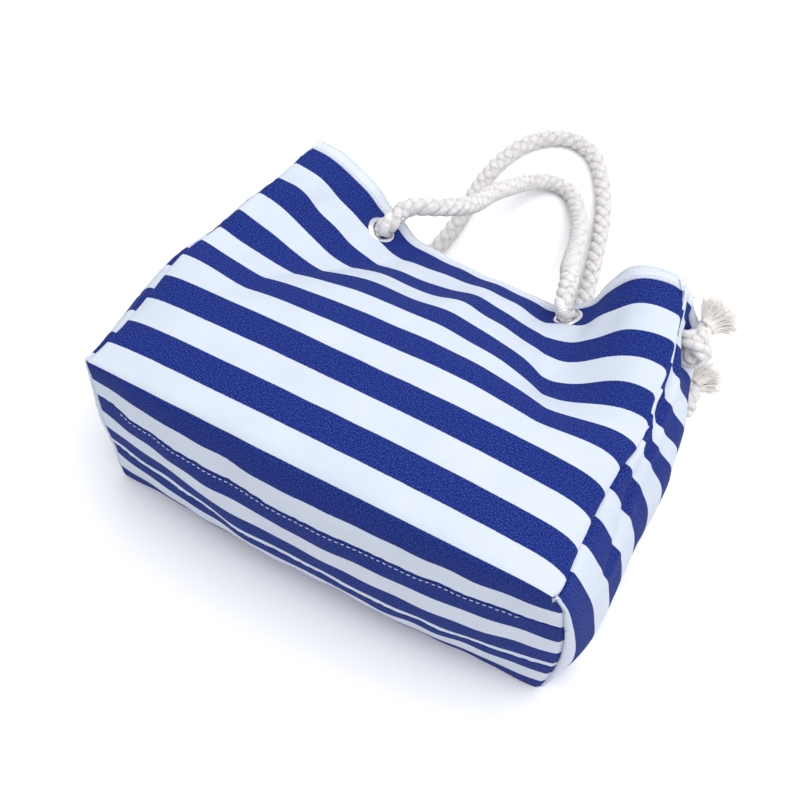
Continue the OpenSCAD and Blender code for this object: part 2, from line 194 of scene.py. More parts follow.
class Graph:
    """Short ways to add shader nodes to one material."""

    def __init__(self, name):
        self.material, self.nodes, self.links, self.shader = new_material(name)

    def node(self, kind, **settings):
        n = self.nodes.new(kind)
        for key, value in settings.items():
            setattr(n, key, value)
        return n

    def put(self, target, value):
        if isinstance(value, bpy.types.NodeSocket):
            self.links.new(value, target)
        else:
            target.default_value = value

    def math(self, operation, a, b=0.0, c=0.0):
        n = self.node("ShaderNodeMath", operation=operation)
        for i, value in enumerate((a, b, c)):
            self.put(n.inputs[i], value)
        return n.outputs[0]

    def ramp(self, value, low, high, to_low=0.0, to_high=1.0, soft=True):
        n = self.node("ShaderNodeMapRange", interpolation_type="SMOOTHSTEP" if soft else "LINEAR")
        for i, v in enumerate((value, low, high, to_low, to_high)):
            self.put(n.inputs[i], v)
        return n.outputs[0]

    def noise(self, vector, scale, detail=2.0, rough=0.5):
        n = self.node("ShaderNodeTexNoise")
        self.put(n.inputs["Vector"], vector)
        self.put(n.inputs["Scale"], scale)
        self.put(n.inputs["Detail"], detail)
        self.put(n.inputs["Roughness"], rough)
        return n.outputs["Fac"]

    def colour_mix(self, share, a, b):
        n = self.node("ShaderNodeMix", data_type="RGBA")
        self.put(n.inputs[0], share)
        self.put(n.inputs[6], a)
        self.put(n.inputs[7], b)
        return n.outputs[2]

    def pattern_uv(self):
        uv = self.node("ShaderNodeUVMap", uv_map="Pattern").outputs[0]
        parts = self.node("ShaderNodeSeparateXYZ")
        self.put(parts.inputs[0], uv)
        return uv, parts.outputs[0], parts.outputs[1]

    def object_place(self):
        return self.node("ShaderNodeTexCoord").outputs["Object"]

    def bump(self, height, strength, distance):
        n = self.node("ShaderNodeBump")
        self.put(n.inputs["Strength"], strength)
        self.put(n.inputs["Distance"], distance)
        self.put(n.inputs["Height"], height)
        self.links.new(n.outputs[0], self.shader.inputs["Normal"])


def rgb(r, g, b):
    return (r, g, b, 1.0)


WHITE = rgb(0.565, 0.610, 0.690)
WHITE_SHADE = rgb(0.525, 0.570, 0.660)
BLUE = rgb(0.0075, 0.0200, 0.158)
BLUE_DARK = rgb(0.0020, 0.0060, 0.060)
BLUE_LIGHT = rgb(0.0420, 0.0760, 0.340)


def weave_height(g, u, v, pitch):
    """Plain weave: warp and weft threads that pass over each other in turn."""
    turns = 2 * math.pi / pitch
    warp = g.math("SINE", g.math("MULTIPLY", u, turns))
    weft = g.math("SINE", g.math("MULTIPLY", v, turns))
    return g.math("MULTIPLY", warp, weft)


def canvas_material(name, print_strength):
    """Cotton canvas with printed stripes; print_strength is how much of the print shows on this side."""
    g = Graph(name)
    uv, u, v = g.pattern_uv()
    edge = g.math("MULTIPLY", g.math("SUBTRACT", g.noise(uv, 500, 1), 0.5), 0.0006)
    turns = g.math("DIVIDE", g.math("ADD", v, edge), 2 * STRIPE * MM)
    from_blue = g.math("PINGPONG", g.math("SUBTRACT", turns, 0.75), 0.5)
    mask = g.ramp(from_blue, 0.243, 0.257, 1.0, 0.0)
    mask = g.math("MULTIPLY", mask, print_strength)
    speck = g.noise(uv, 980, 2, 0.75)
    patch = g.noise(uv, 22, 3)
    blue = g.colour_mix(g.ramp(speck, 0.36, 0.50), BLUE_DARK, BLUE)
    blue = g.colour_mix(g.ramp(speck, 0.50, 0.64), blue, BLUE_LIGHT)
    mottle = g.math("ADD", g.math("MULTIPLY", speck, 0.5), g.math("MULTIPLY", patch, 0.5))
    white = g.colour_mix(g.ramp(mottle, 0.35, 0.62), WHITE_SHADE, WHITE)
    g.put(g.shader.inputs["Base Color"], g.colour_mix(mask, white, blue))
    g.put(g.shader.inputs["Roughness"], g.ramp(speck, 0.3, 0.7, 0.74, 0.92))
    g.shader.inputs["Sheen Weight"].default_value = 0.02
    g.shader.inputs["Sheen Roughness"].default_value = 0.5
    g.shader.inputs["Specular IOR Level"].default_value = 0.06
    threads = g.math("MULTIPLY", weave_height(g, u, v, 0.0009), 0.35)
    height = g.math("ADD", threads, g.math("MULTIPLY", speck, 0.9))
    g.bump(height, 0.5, 0.00035)
    return g.material


def tape_material():
    g = Graph("woven_tape")
    uv, u, v = g.pattern_uv()
    speck = g.noise(uv, 900, 2, 0.6)
    tone = g.colour_mix(g.ramp(speck, 0.35, 0.65), WHITE_SHADE, rgb(0.68, 0.71, 0.78))
    g.put(g.shader.inputs["Base Color"], tone)
    g.put(g.shader.inputs["Roughness"], g.ramp(speck, 0.3, 0.7, 0.7, 0.9))
    g.shader.inputs["Sheen Weight"].default_value = 0.08
    ribs = g.math("SINE", g.math("MULTIPLY", g.math("ADD", u, v), 2 * math.pi / 0.0011))
    g.bump(g.math("ADD", g.math("MULTIPLY", ribs, 0.4), speck), 0.5, 0.0003)
    return g.material


def thread_material():
    g = Graph("sewing_thread")
    place = g.object_place()
    fleck = g.noise(place, 1500, 1)
    g.put(g.shader.inputs["Base Color"], g.colour_mix(fleck, rgb(0.56, 0.59, 0.70), rgb(0.70, 0.72, 0.80)))
    g.put(g.shader.inputs["Roughness"], g.ramp(fleck, 0.3, 0.7, 0.45, 0.65))
    g.bump(fleck, 0.4, 0.0001)
    return g.material


def rope_material(name, yarns, turns_per_m):
    """Cotton strand: yarns wind round it the other way from the lay, with painted shade darkening the gaps
    between them.
    """
    g = Graph(name)
    _, u, v = g.pattern_uv()
    place = g.object_place()
    wobble = g.math("MULTIPLY", g.noise(place, 260, 2), 0.9)
    winding = g.math("ADD", g.math("MULTIPLY", u, yarns), g.math("MULTIPLY", v, yarns * turns_per_m))
    yarn = g.math("PINGPONG", g.math("ADD", winding, wobble), 0.5)
    fibre = g.noise(place, 1600, 3, 0.7)
    patch = g.noise(place, 45, 2)
    tone = g.colour_mix(g.ramp(patch, 0.35, 0.65), rgb(0.930, 0.905, 0.890), rgb(0.970, 0.955, 0.950))
    tone = g.colour_mix(g.ramp(fibre, 0.62, 0.38), tone, rgb(0.83, 0.80, 0.78))
    # Painted shade: the gaps between the yarns are darkened in the colour itself
    tone = g.colour_mix(g.ramp(yarn, 0.10, 0.0), tone, rgb(0.54, 0.50, 0.47))
    g.put(g.shader.inputs["Base Color"], tone)
    g.put(g.shader.inputs["Roughness"], g.ramp(fibre, 0.3, 0.7, 0.8, 0.95))
    g.shader.inputs["Sheen Weight"].default_value = 0.25
    g.shader.inputs["Sheen Roughness"].default_value = 0.5
    g.shader.inputs["Specular IOR Level"].default_value = 0.2
    g.bump(g.math("ADD", g.ramp(yarn, 0.0, 0.35), g.math("MULTIPLY", fibre, 0.6)), 0.8, 0.0007)
    return g.material


def fibre_material():
    g = Graph("loose_fibre")
    place = g.object_place()
    fleck = g.noise(place, 90, 2)
    g.put(g.shader.inputs["Base Color"], g.colour_mix(fleck, rgb(0.70, 0.65, 0.61), rgb(0.92, 0.89, 0.86)))
    g.put(g.shader.inputs["Roughness"], g.ramp(fleck, 0.3, 0.7, 0.75, 0.9))
    g.shader.inputs["Sheen Weight"].default_value = 0.3
    g.bump(g.noise(place, 1800, 1), 0.3, 0.0001)
    return g.material


def metal_material():
    g = Graph("plated_steel")
    place = g.object_place()
    wear = g.noise(place, 420, 3, 0.6)
    g.put(g.shader.inputs["Base Color"], g.colour_mix(wear, rgb(0.62, 0.62, 0.64), rgb(0.82, 0.82, 0.84)))
    g.shader.inputs["Metallic"].default_value = 1.0
    g.put(g.shader.inputs["Roughness"], g.ramp(wear, 0.3, 0.7, 0.18, 0.34))
    g.bump(wear, 0.12, 0.0002)
    return g.material


def floor_material():
    g = Graph("pale_floor")
    place = g.object_place()
    tone = g.noise(place, 3, 2)
    g.put(g.shader.inputs["Base Color"], g.colour_mix(tone, rgb(0.93, 0.93, 0.96), rgb(0.95, 0.95, 0.97)))
    g.shader.inputs["Roughness"].default_value = 0.8
    return g.material


canvas = canvas_material("striped_canvas", 1.0)
canvas_inside = canvas_material("canvas_reverse", 0.16)
tape = tape_material()
thread = thread_material()
strand = rope_material("cotton_strand", 9, 55)
fibre = fibre_material()
metal = metal_material()


# ---- Camera and lights ----

camera = bpy.data.cameras.new("camera")
camera.lens = 54.235
camera.sensor_width = 36
viewer = bpy.data.objects.new("camera", camera)
viewer.location = (0.2400, -0.4060, 0.9863)
viewer.rotation_euler = (math.radians(29.921), math.radians(-0.244), math.radians(28.584))
bpy.context.scene.collection.objects.link(viewer)
bpy.context.scene.camera = viewer


def area_light(name, place, target, size, energy, colour=(1, 1, 1)):
    data = bpy.data.lights.new(name, "AREA")
    data.shape = "SQUARE"
    data.size = size
    data.energy = energy
    data.color = colour
    light = bpy.data.objects.new(name, data)
    light.location = place
    light.rotation_euler = (Vector(target) - Vector(place)).to_track_quat("-Z", "Y").to_euler()
    bpy.context.scene.collection.objects.link(light)


area_light("overhead", (0.45, 0.35, 2.0), (0, 0.1, 0.1), 1.9, 31)
area_light("side", (1.8, 0.4, 0.9), (0, 0.1, 0.1), 1.2, 3)

world = bpy.data.worlds.new("studio")
world.use_nodes = True
world.node_tree.nodes["Background"].inputs[0].default_value = (0.97, 0.98, 1.0, 1.0)
world.node_tree.nodes["Background"].inputs[1].default_value = 0.90
bpy.context.scene.world = world
bpy.context.scene.view_settings.view_transform = "Standard"

# ---- Tubes along a line: stitches, strands and loose fibres ----

def resampled(line, step):
    """The same line with points a step apart."""
    line = np.asarray(line, float)
    gone = np.concatenate([[0], np.cumsum(np.linalg.norm(np.diff(line, axis=0), axis=1))])
    marks = np.linspace(0, gone[-1], max(2, int(round(gone[-1] / step)) + 1))
    return np.stack([np.interp(marks, gone, line[:, k]) for k in range(3)], -1)


def frames_along(line):
    """Tangent and two side directions at each point, carried along without twist."""
    tangent = unit(np.gradient(line, axis=0))
    side = np.zeros_like(line)
    n = np.array([0.3, 0.2, 1.0])
    for i, t in enumerate(tangent):
        n = n - (n @ t) * t
        n = n / np.linalg.norm(n)
        side[i] = n
    return tangent, side, np.cross(tangent, side)


def tube_points(line, radii, sides):
    """Rings of points round a line, one for each of its points."""
    _, a, b = frames_along(line)
    w = 2 * np.pi * np.arange(sides) / sides
    ring = np.cos(w)[None, :, None] * a[:, None, :] + np.sin(w)[None, :, None] * b[:, None, :]
    return line[:, None, :] + np.asarray(radii)[:, None, None] * ring


def tubes_object(name, tubes, material):
    """Many thin closed tubes as one piece; each is a line and its radii, in millimetres."""
    points, faces, start = [], [], 0
    for line, radii, sides in tubes:
        ring = tube_points(line, radii, sides)
        rows = ring.shape[0]
        points.append(ring.reshape(-1, 3))
        faces += [tuple(f) for f in grid_faces(rows, sides, closed=True, start=start)]
        faces.append(tuple(start + k for k in range(sides))[::-1])
        faces.append(tuple(start + (rows - 1) * sides + k for k in range(sides)))
        start += rows * sides
    return mesh_object(name, placed(np.concatenate(points)), faces, material)


# ---- Where the eyelets are, read from the frame ----

OUTWARD = {"front": (0, 0, 1), "back": (0, 0, -1), "side_left": (-1, 0, 0), "side_right": (1, 0, 0)}


def corners_of(node):
    """A CAD node's vertices, in the part's millimetres."""
    here = np.array([node.matrix_world @ v.co for v in node.data.vertices])
    return here / MM + np.array([0, REST_Y, 0])


def seat_of(name):
    """Centre of an eyelet on the canvas, and its outward axis with two directions square to it."""
    corners = corners_of(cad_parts["eyelet_" + name])
    a, b, n = np.linalg.svd(corners - corners.mean(0))[2]
    n = n * np.sign(n @ np.array(OUTWARD[name.rsplit("_", 1)[0]]))
    centre = sum(((corners @ d).max() + (corners @ d).min()) / 2 * d for d in (a, b))
    centre = centre + ((corners @ n).max() - EYELET_TOP) * n
    level = unit(np.array([-n[1], n[0], 0.0]))
    return centre, n, np.cross(level, n), level


SEATS = {name: seat_of(name) for name in (
    "front_left", "front_right", "back_left", "back_right",
    "side_left_front", "side_left_back", "side_right_front", "side_right_back")}


def over(name, *depths):
    """Points on an eyelet's axis, this far outside the canvas."""
    centre, n, _, _ = SEATS[name]
    return [centre + d * n for d in depths]


# ---- Twisted rope: three strands, each wound round the rope's own line ----

STRAND_R = 4.5
LAY_R = 4.1                 # from the rope's line to the middle of each strand
LAY_PITCH = 36.0            # length of one whole turn
STRAND_SIDES = 22
LOOP_FUZZ = 1500            # loose fibres on each handle loop
KNOT_FUZZ = 260
ROPE_STEP = 1.5
BEND_RINGS = 10             # how far past the pivot each bend reaches, in rings
TAIL_FROM = -23             # on the knot's eyelet's axis, where the tail starts
BEFORE_PIVOT = np.array([0, 13, 0])     # from the start of the back rope's bend to its pivot


def spline(points, steps):
    """Smooth curve through the points."""
    p = np.asarray(points, float)
    n = len(p) - 1
    made = []
    for i in range(n):
        a, b, c, d = p[max(0, i - 1)], p[i], p[i + 1], p[min(n, i + 2)]
        for t in np.arange(steps) / steps:
            made.append(0.5 * (2 * b + (c - a) * t + (2 * a - 5 * b + 4 * c - d) * t ** 2
                               + (3 * b - a - 3 * c + d) * t ** 3))
    return np.array(made + [p[n]])


def lengths_along(line):
    return np.concatenate([[0], np.cumsum(np.linalg.norm(np.diff(line, axis=0), axis=1))])


def strand_rings(line, seed, swell=None):
    """Rings of points round each of the three strands, the whole way along the line."""
    gone = lengths_along(line)
    _, a, b = frames_along(line)
    grow = np.ones(len(line)) if swell is None else swell
    lumps = waves(8, 22, 7, seed)
    made = []
    for k in range(3):
        w = 2 * np.pi * (k / 3 - gone / LAY_PITCH)
        own = line + (LAY_R * grow)[:, None] * (np.cos(w)[:, None] * a + np.sin(w)[:, None] * b)
        turn = 2 * np.pi * np.arange(STRAND_SIDES) / STRAND_SIDES
        radius = (STRAND_R * grow)[:, None] + 0.10 * lumps(gone[:, None], turn[None, :] * STRAND_R + 40 * k)
        _, c, d = frames_along(own)
        ring = np.cos(turn)[None, :, None] * c[:, None, :] + np.sin(turn)[None, :, None] * d[:, None, :]
        shell = own[:, None, :] + radius[..., None] * ring
        shell[..., 2] = np.maximum(shell[..., 2], FLOOR_GAP)
        made.append((own, shell))
    return made, gone


def strand_piece(name, rings, gone, first, last):
    """The three strands between two places on the line, as one closed piece."""
    points, faces, uv, start = [], [], [], 0
    sides = STRAND_SIDES
    for _, ring in rings:
        part = ring[first:last + 1]
        rows = len(part)
        points.append(part.reshape(-1, 3))
        quads = grid_faces(rows, sides, closed=True)
        column = np.tile(np.arange(sides), rows - 1)[:, None] + np.array([0, 1, 1, 0])[None, :]
        row = quads // sides
        uv.append(np.stack([column / sides, gone[first + row] * MM], -1).reshape(-1, 2))
        faces += [tuple(f) for f in quads + start]
        faces.append(tuple(start + k for k in range(sides))[::-1])
        faces.append(tuple(start + (rows - 1) * sides + k for k in range(sides)))
        uv.append(np.zeros((2 * sides, 2)))
        start += rows * sides
    return mesh_object(name, placed(np.concatenate(points)), faces, strand, np.concatenate(uv))


def nearest(line, point):
    return int(np.argmin(np.linalg.norm(line - np.asarray(point), axis=1)))


def loose_fibres(rings, first, last, count, seed, longest=7.0):
    """Short ends of cotton that stand off the strands."""
    r = np.random.default_rng(seed)
    made = []
    for _ in range(count):
        own, ring = rings[r.integers(3)]
        i = int(r.integers(first + 2, last - 2))
        root = ring[i, r.integers(STRAND_SIDES)]
        out = unit(root - own[i])
        along = unit(own[i + 1] - own[i - 1]) * r.choice([-1, 1])
        start = unit(0.5 * out + along * r.uniform(0.4, 1.2) + r.normal(0, 0.25, 3))
        end = unit(out + r.normal(0, 0.8, 3))
        length = r.uniform(0.35, 1.0) ** 2 * longest
        t = np.linspace(0, 1, 5)[:, None]
        line = root - 0.25 * out + length * (start * t + 0.55 * (end - start) * t * t)
        line[:, 2] = np.maximum(line[:, 2], FIBRE_GAP)
        made.append((line, np.linspace(0.10, 0.045, 5), 4))
    return made


def attached(piece, body, node=None):
    """Puts a piece on its body, in place of a CAD node if there is one."""
    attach(piece, body)
    if node:
        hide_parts(node)


PIVOTS = {name: over(name, PIVOT_H)[0] for name in ("front_left", "front_right")}
PIVOTS["back_left"] = np.array([-84, 322, LOOP_Z])
PIVOTS["back_right"] = np.array([88, 322, LOOP_Z])
# The routes are the CAD tubes' own, point by point
FRONT_LOOP = [
    (-76, 290, 147), (-57, 303, 146), (-43, 322, 134), (-37, 350, 112), (-37, 390, 84),
    (-35, 428, 54), (-28, 465, 27), (-12, 490, 10.5), (12, 487, 8.5), (34, 455, 19),
    (49, 412, 44), (60, 368, 76), (69, 330, 106), (78, 303, 127)]
BACK_LOOP = [(x, y, LOOP_Z) for x, y in (
    (-79, 350), (-75, 385), (-75, 420), (-76, 455), (-72, 490), (-60, 524), (-38, 548), (-12, 556),
    (14, 544), (35, 515), (50, 484), (61, 450), (70, 415), (78, 378), (84, 348))]
INSIDE = {"front_left": [(-118, 260, 99), (-105, 262, 104)],
          "front_right": [(138, 261, 125), (121, 260, 110), (108, 261, 108)],
          "back_left": [(-122, 270, 46), (-106, 275, 44)],
          "back_right": [(144, 267, 70), (124, 271, 57), (107, 275, 46)]}
# Depths on an eyelet's axis that the rope passes
OUT_OF_EYELET = {"front": (-14, -6, 4.4), "back": (-17, -7, 3)}
UNDER_RIM = {"back_left": [(-99, 290, 10.5), (-95, 301, LOOP_Z), (-88, 313.4, LOOP_Z)],
             "back_right": [(99, 290, 10.5), (96, 301, LOOP_Z), (91, 313.4, LOOP_Z)]}


def half_route(which, side):
    """From the knot's eyelet, through the bag and its own eyelet, to the place where the loop starts."""
    eyelet_name = "%s_%s" % (which, side)
    return (over("side_%s_%s" % (side, which), 2, -6, -15, TAIL_FROM, -30)
            + [np.array(p, float) for p in INSIDE[eyelet_name]]
            + over(eyelet_name, *OUT_OF_EYELET[which])
            + [np.array(p, float) for p in UNDER_RIM.get(eyelet_name, [])] + [PIVOTS[eyelet_name]])


def make_rope(which, loop, seed):
    """One whole rope: its two tails, its two runs inside the bag, two bends, the loop and loose fibres."""
    route = (half_route(which, "left") + [np.array(p, float) for p in loop]
             + half_route(which, "right")[::-1])
    line = resampled(spline(route, 12), ROPE_STEP)
    rings, gone = strand_rings(line, seed)
    body = which + "_loop"
    loop_ends = []
    for side, end, onward in (("left", 0, 1), ("right", len(line) - 1, -1)):
        eyelet_name = "%s_%s" % (which, side)
        inside = nearest(line, over("side_%s_%s" % (side, which), TAIL_FROM)[0])
        pivot = PIVOTS[eyelet_name]
        leaves = nearest(line, over(eyelet_name, 1)[0] if which == "front" else pivot - BEFORE_PIVOT)
        beyond = nearest(line, pivot) + onward * BEND_RINGS
        loop_ends.append(beyond)
        inner = strand_piece("inner_rope_" + eyelet_name, rings, gone, *sorted((inside, leaves)))
        attached(inner, "bag", node="rope_" + eyelet_name)
        tail = strand_piece("rope_tail_" + eyelet_name, rings, gone, *sorted((end, inside)))
        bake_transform(tail)
        bend = strand_piece("rope_bend_" + eyelet_name, rings, gone, *sorted((leaves, beyond)))
        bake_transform(bend)
    first, last = loop_ends
    made = strand_piece(which + "_rope_loop", rings, gone, first, last)
    attached(made, body, node=which + "_handle")
    fuzz = loose_fibres(rings, first, last, LOOP_FUZZ, seed + 1)
    attached(tubes_object(which + "_rope_fibres", fuzz, fibre), body)


make_rope("front", FRONT_LOOP, 31)
make_rope("back", BACK_LOOP, 41)

# ---- Overhand knots outside the gussets, each with its frayed end ----

KNOT_SCALE = 4.5
KNOT_MIDDLE = 16.5          # from the canvas to the middle of the knot
YARNS = 420                 # in each frayed end
FRAYED = {"left": 22.0, "right": 31.0}
LEAN = {"left": math.radians(28), "right": math.radians(58)}


def knot_line(lean):
    """An overhand knot in its own frame: it starts in the eyelet and leaves towards +Y, leaning off +Z."""
    turn = math.radians(60)
    t = np.linspace(math.pi / 3 + 0.62, 2 * math.pi + math.pi / 3 - 0.55, 15)
    x = np.sin(t) + 2 * np.sin(2 * t)
    y = np.cos(t) - 2 * np.cos(2 * t)
    z = -np.sin(3 * t)
    body = np.stack([
        KNOT_SCALE * (x * math.cos(turn) - y * math.sin(turn)),
        KNOT_SCALE * (x * math.sin(turn) + y * math.cos(turn)),
        KNOT_MIDDLE + 1.35 * KNOT_SCALE * z], -1)
    leaving = np.array([0, math.sin(lean), math.cos(lean)])
    exit_from = np.array([1.0, 15.0, KNOT_MIDDLE + 3.0])
    ends = [exit_from, exit_from + 5 * leaving, exit_from + 10 * leaving]
    return np.concatenate([[(0, 0, 2), (-0.5, 1.5, 4.5)], body, ends])


def frayed_end(base, axis, seed, longest):
    """A brush of unlaid yarns that leave the rope's end and splay out, wavy and of uneven length."""
    r = np.random.default_rng(seed)
    side_a = unit(np.cross(axis, [0.31, 0.42, 0.85]))
    side_b = np.cross(axis, side_a)
    made = []
    for _ in range(YARNS):
        rho = math.sqrt(r.uniform(0, 1))
        w = r.uniform(0, 2 * math.pi)
        off = math.cos(w) * side_a + math.sin(w) * side_b
        swirl = -math.sin(w) * side_a + math.cos(w) * side_b
        length = longest * r.uniform(0.62, 1.0) * (1.0 - 0.22 * rho)
        splay = 0.06 + 0.50 * rho + r.normal(0, 0.07)
        t = np.linspace(0, 1, 13)[:, None]
        line = base + 7.6 * rho * off + length * (axis * (t - 0.16 * rho * t * t) + splay * off * t ** 1.35
                                                  + 0.30 * swirl * t * t)
        wave = r.uniform(0.3, 0.9)
        phase = r.uniform(0, 2 * math.pi, 3)
        turns = r.uniform(1.2, 2.6)
        for direction, p in zip((side_a, side_b, axis), phase):
            line = line + wave * np.sin(2 * math.pi * turns * t + p) * t * direction
        thick = r.uniform(0.42, 0.62)
        made.append((line, thick * np.linspace(1.0, 0.55, 13), 5))
    return made


for which in ("front", "back"):
    for side in ("left", "right"):
        name = "%s_%s" % (side, which)
        centre, n, down, level = SEATS["side_" + name]
        local = knot_line(LEAN[side])
        if side == "left":
            local = np.stack([local[:, 1], -local[:, 0], local[:, 2]], -1)
        through = centre + local[:, :1] * down + local[:, 1:2] * level + local[:, 2:] * n
        line = resampled(spline(through, 10), 1.2)
        seed = 50 + len(name) + (7 if which == "front" else 0) + (3 if side == "left" else 0)
        swell = 1 - 0.16 * smooth(lengths_along(line) / 8)
        rings, gone = strand_rings(line, seed, swell)
        tied = strand_piece("tied_knot_" + name, rings, gone, 0, len(line) - 1)
        attached(tied, "knot_" + name, node="knot_" + name)
        axis = unit(line[-1] - line[-6])
        yarns = frayed_end(line[-6], axis, seed + 20, FRAYED[side])
        yarns += loose_fibres(rings, 0, len(line) - 1, KNOT_FUZZ, seed + 40)
        attached(tubes_object("frayed_end_" + name, yarns, fibre), "knot_" + name, node="tassel_" + name)


# ---- The panels' shape, by the same rules as the part's source ----

def valley_depth(v):
    """How deep the panel's two valleys are below its first fall."""
    return RIM_SAG * 1.02 * np.maximum(0, v - SAG_FROM + 3) / (PANEL_H - SAG_FROM + 3)


def middle_depth(v):
    """And how deep its middle is, between them."""
    return RIM_SAG * (np.maximum(0, v - SAG_FROM) / (PANEL_H - SAG_FROM)) ** 1.45


def valley_rise(v):
    """Share of the way up the panel's upper half, where the valleys run together."""
    return clamp01((v - PANEL_H / 2) / (PANEL_H / 2))


def left_shelf(v):
    """How far the level cloth beside the left side seam has fallen."""
    return 30 * smooth((v - 105) / 85) + 10 * smooth((v - 240) / 60)


def right_shelf(v):
    return 20 * smooth((v - 110) / 70)


def shelf_blend(u, valley):
    """From 0 in a valley to 1 on the nearly level shelf beside it."""
    return smooth((np.abs(u) - np.abs(valley)) / (SHELF_AT - np.abs(valley)))


def fold(u, v, at_u, at_v, wide_u, wide_v):
    """One round dent or swell in the slack cloth."""
    return np.exp(-((u - at_u) / wide_u) ** 2 - ((v - at_v) / wide_v) ** 2)


def slack_folds(u, v):
    """The dents and swells that the photograph shows, and the fall of the panel's right half."""
    right_fall = 4.5 * smooth((u - 0.1) / 0.8) * (1 - smooth((v - 80) / 60)) * (1 - np.exp(-v / 12))
    return (right_fall + 8 * fold(u, v, 0.64, 192, 0.2, 32) - 3.5 * fold(u, v, 0.26, 135, 0.26, 24)
            + 6 * fold(u, v, -0.13, 240, 0.13, 48) - 2 * fold(u, v, 0.08, 250, 0.08, 60)
            + 5 * fold(u, v, -0.72, 262, 0.11, 40) - 7 * fold(u, v, -1, 190, 0.1, 50))


def sag(u, v):
    """The slump of the front panel: two valleys that run together towards the rim, with shelves beside them."""
    left = -0.67 + 0.40 * valley_rise(v)
    right = 0.60 - 0.30 * valley_rise(v)
    depth = valley_depth(v)
    on_left = mix(depth, left_shelf(v), shelf_blend(u, left))
    on_right = mix(depth, right_shelf(v), shelf_blend(u, right))
    share = ((u - (left + right) / 2) / ((right - left) / 2)) ** 2
    between = mix(middle_depth(v), depth, share)
    return np.where(u < left, on_left, np.where(u > right, on_right, between))


def edge_roll(u, v):
    """How the panel rolls over into the gussets near its side seams."""
    reach = np.exp(-(1 - np.abs(u)) / 0.08) * (1 - np.exp(-v / 30))
    return reach * np.where(u < 0, 9 - 7 * smooth((v - 100) / 60), 20 * (1 - smooth((v - 120) / 60)))


def crown(u, v):
    """The swell of the panel next to the base."""
    return 5 * (1 - u * u) * np.where(v < 130, np.sin(np.pi * np.minimum(v, 130) / 130), 0)


def front_z(u, v):
    return BODY_D + crown(u, v) - sag(u, v) - edge_roll(u, v) - slack_folds(u, v)


def back_z(v):
    return RIM_LIFT * (np.maximum(0, v - LIFT_FROM) / (TOP_V - LIFT_FROM)) ** 2


def back_half(v, u):
    """Half the back panel's width at height v, to the right or to the left."""
    corner = np.where(u < 0, LEFT_CORNER, 0) * (1 - smooth(v / 150))
    return mix(PANEL_W / 2 + BACK_FLARE, PANEL_W / 2 - 6, smooth(v / PANEL_H)) + corner


def base_y(u, z):
    """How far the base bulges outwards."""
    return -BASE_BULGE * (1 - u * u) ** 0.9 * (1 - np.abs(2 * z / BODY_D - 1) ** 3)


def base_half(z, u):
    """Half the base's width, to the right or to the left."""
    back_corner = PANEL_W / 2 + BACK_FLARE + np.where(u < 0, LEFT_CORNER, 0)
    return mix(back_corner, PANEL_W / 2, z / BODY_D) + np.where(u > 0, END_BULGE, 0) * hump(z / BODY_D)


def run(step, *drops):
    """What is left of a step along the cloth when it also falls by these drops."""
    return np.sqrt(np.maximum(0.05 * step * step, step * step - sum(d * d for d in drops)))


def spaced(low, high, step, fine=()):
    """Even steps from low to high, with closer ones around each fine place."""
    near = [f + d for f in fine for d in (-3.6, -2.4, -1.5, -0.7, 0, 0.7, 1.5, 2.4, 3.6)]
    even = [x for x in np.linspace(low, high, int(round((high - low) / step)) + 1)
            if all(abs(x - n) > 0.9 for n in near)]
    return np.array(sorted({round(float(x), 3) for x in even + near if low <= x <= high}))


us = spaced(-PANEL_W / 2, PANEL_W / 2, 2.5, (-PANEL_W / 2, PANEL_W / 2)) / (PANEL_W / 2)
front_vs = spaced(0, TOP_V, 2.5)
base_qs = spaced(2.5, BODY_D - 2.5, 2.5, (FRONT_SEAM, BACK_SEAM))
middle_col = int(np.argmin(np.abs(us)))


def front_surface():
    """The front panel: Y from the fall of each column, X from the fall along each row."""
    v = front_vs[:, None]
    z = front_z(us[None, :], v) + 0 * v
    step = np.diff(front_vs)[:, None]
    y = np.concatenate([np.zeros((1, len(us))), np.cumsum(run(step, np.diff(z, axis=0)), axis=0)])
    across = np.diff(us)[None, :] * PANEL_W / 2
    dx = run(across, np.diff(z, axis=1), np.diff(y, axis=1))
    x = np.concatenate([np.zeros((len(v), 1)), np.cumsum(dx, axis=1)], axis=1)
    x = x - x[:, middle_col:middle_col + 1] + 9 * (v / PANEL_H) ** 2
    return np.stack([x, y, z], -1)


def back_surface():
    """The back panel, which lies on the floor and lifts towards its rim."""
    v = front_vs[:, None]
    z = back_z(v) + 0 * us[None, :]
    step = np.diff(front_vs)[:, None]
    y = np.concatenate([np.zeros((1, len(us))), np.cumsum(run(step, np.diff(z, axis=0)), axis=0)])
    return np.stack([us[None, :] * back_half(v, us[None, :]), y, z], -1)


def base_surface():
    """The base strip with the two panels' turned edges."""
    z = BODY_D - base_qs[:, None]
    u = us[None, :]
    return np.stack([u * base_half(z, u), base_y(u, z), z + 0 * u], -1)


front_rows = front_surface()
back_rows = back_surface()
# One sheet from the back rim round the base to the front rim; s is the distance from the front crease
wrap = np.concatenate([back_rows[::-1], base_surface()[::-1], front_rows])
wrap_s = np.concatenate([-BODY_D - front_vs[::-1], -base_qs[::-1], front_vs])


def soften_creases(grid, s):
    """Rounds the two long creases of the base, more in the middle than at the corners."""
    for crease in (0, -BODY_D):
        weight = np.exp(-((s - crease) / 9) ** 2)[:, None] * (0.35 + 0.65 * (1 - us ** 2))[None, :]
        for _ in range(10):
            middle = (grid[:-2] + grid[2:]) / 2
            grid[1:-1] += (0.6 * weight[1:-1])[..., None] * (middle - grid[1:-1])
    return grid


wrap = soften_creases(wrap, wrap_s)
